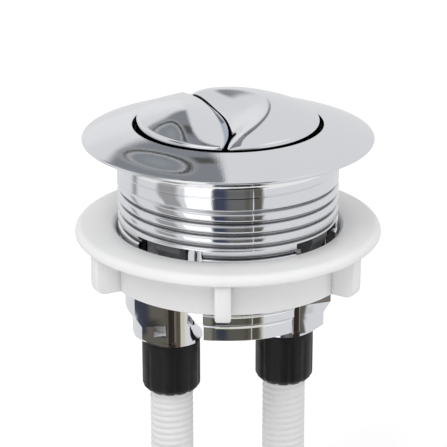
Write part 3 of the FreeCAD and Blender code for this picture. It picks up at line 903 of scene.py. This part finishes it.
wound_coil = coil_tree()
spring_wire = finish_material("spring_wire", (0.58, 0.58, 0.6), 0.24, 0.15, wave=(400.0, 0.1),
                              grain=(6000.0, 0.2), Metallic=1.0)
for label, x in BUTTONS:
    spring = bpy.data.objects.new(label + "_coil", bpy.data.meshes.new(label + "_coil"))
    bpy.context.collection.objects.link(spring)
    grow(spring, wound_coil, axis_x=x * MM, bottom=SPRING_LOW * MM, radius=SPRING_R * MM,
         height=(SPRING_HIGH - SPRING_LOW) * MM, wire=SPRING_WIRE / 2 * MM, turns=SPRING_TURNS,
         material=spring_wire)
    spring.data.shade_smooth()
    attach(spring, "barrel")
    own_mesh(spring)
    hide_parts(label + "_spring")


# Collars: black moulded socket rings pushed on the plungers' spigots. Each has
# twelve shallow flutes for grip, a chamfered foot and a scalloped lower edge.
COLLAR_TOP, COLLAR_BOTTOM = -45.9, -57.7
COLLAR_R, FLUTES, FLUTE_DEPTH, FLUTE_HALF = 6.45, 12, 0.16, 0.9
COLLAR_CHAMFER, COLLAR_EDGE, SCALLOP, FLUTE_END, FLUTE_STEPS = 0.9, 0.15, 0.22, 1.0, 16


def pattern_tree():
    """Repeats its mesh round an upright axis and closes the joints."""
    tree, given = mesh_tree("round_pattern", "Count", "Axis X")
    line = add_node(tree, "GeometryNodeMeshLine", given["Count"], Offset=(0.0, 0.0, 0.0))[0]
    index = Number(add_node(tree, "GeometryNodeInputIndex")[0])
    turn = add_node(tree, "ShaderNodeCombineXYZ", Z=index / given["Count"] * (2 * pi))[0]
    copies = add_node(tree, "GeometryNodeInstanceOnPoints", line, Instance=given["Geometry"],
                      Rotation=turn)[0]
    real = add_node(tree, "GeometryNodeRealizeInstances", copies)[0]
    axis = add_node(tree, "ShaderNodeCombineXYZ", given["Axis X"])[0]
    moved = add_node(tree, "GeometryNodeTransform", real, Translation=axis)[0]
    merged = add_node(tree, "GeometryNodeMergeByDistance", moved, Distance=2e-6)[0]
    return mesh_out(tree, merged, given["Material"])


round_pattern = pattern_tree()


def collar_segment(name):
    """One flute's share of the ring, about the Z axis, as open strips."""
    span = 360 / FLUTES
    columns = []
    for i in range(FLUTE_STEPS + 1):
        angle = -span / 2 + span * i / FLUTE_STEPS
        across = min(abs(radians(angle)) * COLLAR_R / FLUTE_HALF, 1)
        dip = FLUTE_DEPTH * (0.5 + 0.5 * cos(pi * across))
        foot = COLLAR_BOTTOM + SCALLOP * (0.5 + 0.5 * cos(pi * across))
        chamfer_top = COLLAR_BOTTOM + COLLAR_CHAMFER
        outer_rows = [
            (0, COLLAR_TOP - COLLAR_EDGE, COLLAR_EDGE), (0, COLLAR_TOP - COLLAR_EDGE, 0),
            (0, COLLAR_TOP - FLUTE_END, 0), (0.4, COLLAR_TOP - FLUTE_END - 0.3, 0),
            (1, COLLAR_TOP - FLUTE_END - 0.8, 0), (1, chamfer_top + 0.9, 0), (1, chamfer_top + 0.25, 0.02),
            (0.9, chamfer_top - 0.1, 0.16), (0.4, foot + 0.12, COLLAR_CHAMFER - 0.1),
            (0.3, foot, COLLAR_CHAMFER + 0.02),
        ]
        column = [(COLLAR_R - cut - dip * share, z) for share, z, cut in outer_rows]
        column[0] = (COLLAR_R - COLLAR_EDGE, COLLAR_TOP)
        column += [(SOCKET_R, foot), (SOCKET_R, COLLAR_TOP - SPIGOT_LENGTH),
                   (SPIGOT_R + RUNNING, COLLAR_TOP - SPIGOT_LENGTH), (SPIGOT_R + RUNNING, COLLAR_TOP)]
        columns.append([turn_point(r, angle, z) for r, z in column + column[:1]])
    for left, right in zip(columns, columns[1:]):
        strip(left, right)
    return solid_object(name)


collar_black = finish_material("collar_black", (0.012, 0.012, 0.013), 0.36, 0.14, wave=(300.0, 0.2),
                               grain=(3200.0, 0.25), Specular_IOR_Level=0.22)
for label, x in BUTTONS:
    collar = collar_segment(label + "_socket_ring")
    grow(collar, round_pattern, count=FLUTES, axis_x=x * MM, material=collar_black)
    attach(collar, label + "_button")
    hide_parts(label + "_collar")

# Rods: white adjusting rods with a moulded, rounded thread, screwed into the
# plungers from below so that the button suits the height of the flush valve.
ROD_R, ROD_TOP, ROD_BOTTOM, ROD_CHAMFER = 4.85, -41.5, -108.0, 0.5
ROD_PITCH, ROD_DEPTH, ROD_CREST, ROD_PLAIN, ROD_FADE = 1.5, 0.34, 1.6, 1.2, 1.0
ROD_COLUMNS, ROD_ROWS = 56, 12


def thread_tree():
    """Presses a rounded helical thread into the side of an upright rod."""
    tree, given = mesh_tree("moulded_thread", "Axis X", "Pitch", "Depth", "Top", "Bottom", "Fade", "Inner")
    axis = add_node(tree, "ShaderNodeCombineXYZ", given["Axis X"])[0]
    place = add_node(tree, "GeometryNodeInputPosition")[0]
    local = add_node(tree, "ShaderNodeVectorMath", place, axis, operation="SUBTRACT")[0]
    x, y, z = split_axes(tree, local)
    around = y.math("ARCTAN2", x) / (2 * pi)
    phase = (z / given["Pitch"] - around) * (2 * pi)
    crest = (phase.math("COSINE") * 0.5 + 0.5) ** ROD_CREST
    from_top = (Number(given["Top"]) - z) / given["Fade"]
    from_bottom = (z - given["Bottom"]) / given["Fade"]
    fade = add_node(tree, "ShaderNodeClamp", from_top.math("MINIMUM", from_bottom))[0]
    flat = add_node(tree, "ShaderNodeVectorMath", local, (1.0, 1.0, 0.0), operation="MULTIPLY")[0]
    radius = Number(add_node(tree, "ShaderNodeVectorMath", flat, operation="LENGTH")["Value"])
    push = crest * fade * given["Depth"] * (radius > given["Inner"]) * -1.0
    away = add_node(tree, "ShaderNodeVectorMath", flat, operation="NORMALIZE")[0]
    shift = add_node(tree, "ShaderNodeVectorMath", away, Scale=push, operation="SCALE")[0]
    pressed = add_node(tree, "GeometryNodeSetPosition", given["Geometry"], Offset=shift)[0]
    real = add_node(tree, "GeometryNodeRealizeInstances", pressed)[0]
    return mesh_out(tree, real, given["Material"])


moulded_thread = thread_tree()
rod_white = finish_material("rod_white", (0.83, 0.83, 0.83), 0.34, 0.12, wave=(200.0, 0.15),
                            grain=(2500.0, 0.15), Subsurface_Weight=0.25, Subsurface_Scale=0.0015,
                            Subsurface_Radius=(1, 1, 1))
rod_high, rod_low = ROD_TOP - ROD_CHAMFER, ROD_BOTTOM + ROD_CHAMFER
rows = round((rod_high - rod_low) / ROD_PITCH * ROD_ROWS)
rod_profile = [(0, ROD_TOP), (ROD_R - ROD_CHAMFER, ROD_TOP), (ROD_R, rod_high)]
rod_profile += [(ROD_R, rod_high + (rod_low - rod_high) * i / rows) for i in range(1, rows + 1)]
rod_profile += [(ROD_R - ROD_CHAMFER, ROD_BOTTOM), (0, ROD_BOTTOM)]
for label, x in BUTTONS:
    lathe(rod_profile, x, ROD_COLUMNS)
    rod = solid_object(label + "_adjusting_rod")
    grow(rod, moulded_thread, axis_x=x * MM, pitch=ROD_PITCH * MM, depth=ROD_DEPTH * MM,
         top=(ROD_TOP - ROD_PLAIN) * MM, bottom=(ROD_BOTTOM + ROD_PLAIN) * MM, fade=ROD_FADE * MM,
         inner=(ROD_R - ROD_DEPTH) * MM, material=rod_white)
    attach(rod, label + "_push_rod")
    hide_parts(label + "_rod")

# Lock nut: white moulded nut that runs up the thread and clamps the lid. It has a
# flange with a full round edge, a hub, and six fins for the fingers.
NUT_BORE_R, NUT_R, NUT_TOP, NUT_FLANGE, NUT_HUB_R, NUT_BOTTOM = 24.4, 33.3, -19.3, 2.3, 26.9, -30.5
NUT_EDGE, NUT_UNDER_EDGE, NUT_LEAD_IN, NUT_FILLET = 1.6, 0.5, 1.0, 0.6
NUT_FOOT_EDGE, NUT_BORE_EDGE = 0.4, 0.3
FIN_COUNT, FIN_THICKNESS, FIN_R, FIN_CORNER, FIN_TURN, FIN_EDGE = 6, 3.3, 32.3, 2.2, 14.0, 0.5
FIN_INTO_FLANGE, FIN_INTO_HUB, FIN_EDGE_ANGLE, NUT_SHARP = 0.4, 1.2, 40, 35


def nut_ring():
    """Flange and hub, turned as one."""
    under, lead = NUT_TOP - NUT_FLANGE, NUT_LEAD_IN
    profile = [(NUT_BORE_R, NUT_BOTTOM + NUT_BORE_EDGE), (NUT_BORE_R, NUT_TOP - lead - 0.1)]
    lead_middle = (NUT_BORE_R + 0.35 * lead, NUT_TOP - 0.45 * lead)
    profile += arc(profile[-1], lead_middle, (NUT_BORE_R + lead, NUT_TOP), 7)
    profile += [(NUT_R - NUT_EDGE - 3, NUT_TOP), (NUT_R - NUT_EDGE, NUT_TOP)]
    turn_corner(profile, (NUT_R, NUT_TOP), (NUT_R, NUT_TOP - NUT_EDGE), 8)
    profile.append((NUT_R, under + NUT_UNDER_EDGE))
    turn_corner(profile, (NUT_R, under), (NUT_R - NUT_UNDER_EDGE, under), 5)
    profile.append((NUT_HUB_R + NUT_FILLET, under))
    turn_corner(profile, (NUT_HUB_R, under), (NUT_HUB_R, under - NUT_FILLET), 5)
    profile.append((NUT_HUB_R, NUT_BOTTOM + NUT_FOOT_EDGE))
    turn_corner(profile, (NUT_HUB_R, NUT_BOTTOM), (NUT_HUB_R - NUT_FOOT_EDGE, NUT_BOTTOM), 4)
    profile.append((NUT_BORE_R + NUT_BORE_EDGE, NUT_BOTTOM))
    lathe(profile, 0.0, 216)
    return solid_object("nut_ring")


def nut_fin():
    """One fin, with rounded outer corner and soft edges."""
    under = NUT_TOP - NUT_FLANGE + FIN_INTO_FLANGE
    inner = NUT_HUB_R - FIN_INTO_HUB
    outline = [(inner, under), (inner, NUT_BOTTOM), (FIN_R - FIN_CORNER, NUT_BOTTOM)]
    turn_corner(outline, (FIN_R, NUT_BOTTOM), (FIN_R, NUT_BOTTOM + FIN_CORNER), 6)
    outline += [(FIN_R, under)]
    for y in (-FIN_THICKNESS / 2, FIN_THICKNESS / 2):
        points.extend((x, y, z) for x, z in outline)
    count = len(outline)
    faces.extend([tuple(range(count)), tuple(range(2 * count - 1, count - 1, -1))])
    for i in range(count):
        j = (i + 1) % count
        faces.append((i, i + count, j + count, j))
    fin = solid_object("nut_fin")
    soft = fin.modifiers.new("soft", "BEVEL")
    soft.width, soft.segments, soft.angle_limit = FIN_EDGE * MM, 4, radians(FIN_EDGE_ANGLE)
    applied(fin)
    fin.data.transform(Matrix.Rotation(radians(-90 - FIN_TURN), 4, "Z"))
    return fin


nut_plastic = finish_material("nut_plastic", (0.9, 0.9, 0.9), 0.3, 0.1, wave=(70.0, 0.2),
                              grain=(2200.0, 0.1), Subsurface_Weight=0.3, Subsurface_Scale=0.003,
                              Subsurface_Radius=(1, 1, 1))
nut_fins = grow(nut_fin(), round_pattern, count=FIN_COUNT, axis_x=0.0, material=nut_plastic)
nut = nut_ring()
nut.data.materials.append(nut_plastic)
joined(nut, nut_fins)
nut.name = "finned_nut"
nut.data.shade_smooth()
nut.data.set_sharp_from_angle(angle=radians(NUT_SHARP))
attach(nut, "nut")
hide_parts("lock_nut")

# Studio: white floor and background, soft light from the front left, and the
# photograph's view. What the chrome mirrors is the light walls, grey screen and
# dark floor cloth of a photo studio, each a soft-edged patch of the surroundings.
CAMERA_TARGET = Vector((0, 0, -19.25 * MM))
CAMERA_DISTANCE = 0.42075
CAMERA_TURN = -12.0
CAMERA_RISE = 20.4
CAMERA_LENS, SENSOR_WIDTH = 155.4, 36
CAMERA_SHIFT = (-0.0101, -0.0083)
PLAIN_LEVEL = 0.66
WALLS = (0.78, 0.78, 0.79)
# Middle of the patch, azimuth from the front (-Y) towards +X and elevation; half
# its width and height; softness of both edges; tilt; colour. Angles in degrees.
SCREENS = (
    ((0, 8), (24, 16), (8, 6), 0, (0.3, 0.3, 0.31)),
    ((0, -80), (181, 22), (1, 5), 0, (1.1, 1.1, 1.1)),
    ((-1.5, -28), (25.5, 22), (2, 5), 0, (0.155, 0.153, 0.155)),
    ((-20, -28), (7, 22), (4, 5), 0, (0.06, 0.07, 0.11)),
    ((14, -28), (8.5, 22), (3, 5), 0, (0.12, 0.115, 0.1)),
    ((8, -46), (22, 14), (8, 5), 0, (0.02, 0.02, 0.02)),
    ((-43.3, -24), (14.3, 20), (1.5, 6), 0, (1.3, 1.3, 1.3)),
    ((-78, -24), (12, 20), (4, 6), 0, (0.37, 0.365, 0.37)),
    ((-124, -24), (4, 20), (5, 6), 0, (0.36, 0.36, 0.38)),
    ((195, 14), (28, 8), (8, 5), 0, (0.86, 0.86, 0.87)),
    ((186.6, 66.8), (45, 30), (5, 2.2), 30, (0.25, 0.26, 0.28)),
    ((134.5, 50), (35, 40), (1.2, 6), 0, WALLS),
    ((172.2, 42.5), (2.0, 3.2), (1.0, 1.6), 0, (0.1, 0.1, 0.1)),
    ((280, 32), (11, 18), (5, 6), 0, (0.2, 0.2, 0.21)),
    ((311, 45), (15, 22), (5, 8), 0, (1.1, 1.1, 1.1)),
    ((90, 58), (32, 9), (10, 6), 0, (1.0, 1.0, 1.0)),
)
# Ring lamp on the grey screen, painted from its halo in to its middle: how far
# aside, radius, softness and colour; it is this much narrower than high
RING_LAMP_PLACE, RING_LAMP_WIDTH = (183.3, 43.5), 0.46
RING_LAMP = (
    (-0.5, 12.8, 1.2, (0.34, 0.35, 0.36)),
    (-0.7, 10.9, 0.6, (0.09, 0.09, 0.09)),
    (0.0, 9.5, 0.6, (0.44, 0.44, 0.45)),
    (0.0, 7.9, 0.7, (0.26, 0.28, 0.3)),
    (0.0, 3.5, 3.0, (0.31, 0.33, 0.35)),
)


def from_middle(azimuth, elevation, place, tilt):
    """How far a direction is from a patch's middle, along and across its tilt."""
    aside = (azimuth - place[0]).math("WRAP", -180.0, 180.0)
    up = elevation - place[1]
    c, s = cos(radians(tilt)), sin(radians(tilt))
    return aside * c + up * s, aside * -s + up * c


def studio_world():
    """White to the camera, plain light for matt surfaces, and the screens for
    glossy ones."""
    made = bpy.data.worlds.new("studio")
    made.use_nodes = True
    tree = made.node_tree
    x, y, z = split_axes(tree, add_node(tree, "ShaderNodeTexCoord")["Generated"])
    azimuth = x.math("ARCTAN2", y * -1.0).math("DEGREES")
    elevation = z.math("ARCSINE").math("DEGREES")
    room = WALLS
    for place, (half_width, half_height), (soft_width, soft_height), tilt, color in SCREENS:
        along, up = from_middle(azimuth, elevation, place, tilt)
        share = abs(along).under(half_width, soft_width) * abs(up).under(half_height, soft_height)
        room = mixed(tree, share, room, color)
    narrow = cos(radians(RING_LAMP_PLACE[1])) / RING_LAMP_WIDTH
    for shift, radius, soft, color in RING_LAMP:
        place = (RING_LAMP_PLACE[0] + shift, RING_LAMP_PLACE[1])
        along, up = from_middle(azimuth, elevation, place, 0)
        along = along * narrow
        away = (along * along + up * up).math("SQRT")
        room = mixed(tree, away.under(radius, soft), room, color)
    path = add_node(tree, "ShaderNodeLightPath")
    glossy = Number(path["Is Glossy Ray"]).math("MAXIMUM", path["Is Transmission Ray"])
    seen = mixed(tree, glossy, (PLAIN_LEVEL,) * 3, room)
    feed(tree.nodes["Background"].inputs["Color"], mixed(tree, path["Is Camera Ray"], seen, (1, 1, 1)))
    return made


def aimed(name, data, azimuth, elevation, distance):
    """Camera or lamp at a distance from the target, turned towards it."""
    made = bpy.data.objects.new(name, data)
    bpy.context.collection.objects.link(made)
    a, e = radians(azimuth), radians(elevation)
    made.location = CAMERA_TARGET + distance * Vector((sin(a) * cos(e), -cos(a) * cos(e), sin(e)))
    made.rotation_euler = (CAMERA_TARGET - made.location).to_track_quat("-Z", "Y").to_euler()
    return made


def soft_lamp(name, azimuth, elevation, distance, size, power):
    """Square lamp that points at the object; chrome doesn't mirror it."""
    data = bpy.data.lights.new(name, "AREA")
    data.size, data.energy = size, power
    aimed(name, data, azimuth, elevation, distance).visible_glossy = False


def studio_floor():
    """Wide white floor under the rods' ends, which chrome doesn't mirror."""
    half, z = FLOOR_HALF, ROD_BOTTOM * MM
    corners = [(-half, -half, z), (half, -half, z), (half, half, z), (-half, half, z)]
    mesh = bpy.data.meshes.new("floor")
    mesh.from_pydata(corners, [], [(0, 1, 2, 3)])
    floor = bpy.data.objects.new("floor", mesh)
    bpy.context.collection.objects.link(floor)
    paint = bpy.data.materials.new("floor_white")
    paint.use_nodes = True
    tree = paint.node_tree
    camera_ray = Number(add_node(tree, "ShaderNodeLightPath")["Is Camera Ray"])
    feed(shader_input(paint, "Base Color"), mixed(tree, camera_ray, FLOOR_GREY, (1, 1, 1)))
    feed(shader_input(paint, "Roughness"), 1.0)
    feed(shader_input(paint, "Specular IOR Level"), 0.0)
    feed(shader_input(paint, "Emission Color"), (1, 1, 1))
    feed(shader_input(paint, "Emission Strength"), camera_ray * FLOOR_LIFT)
    mesh.materials.append(paint)
    floor.visible_glossy = False


FLOOR_HALF, FLOOR_GREY, FLOOR_LIFT = 4.0, (0.78, 0.78, 0.78), 0.25
studio_floor()
soft_lamp("key", -42, 48, 0.9, 0.5, 3.0)
soft_lamp("fill", 55, 35, 1.0, 0.7, 1.5)
bpy.context.scene.world = studio_world()
bpy.context.scene.view_settings.view_transform = "Standard"

camera_data = bpy.data.cameras.new("camera")
camera = aimed("camera", camera_data, CAMERA_TURN, CAMERA_RISE, CAMERA_DISTANCE)
camera_data.lens = CAMERA_LENS
camera_data.sensor_width = SENSOR_WIDTH
camera_data.clip_start = 10 * MM
camera_data.shift_x, camera_data.shift_y = CAMERA_SHIFT
bpy.context.scene.camera = camera
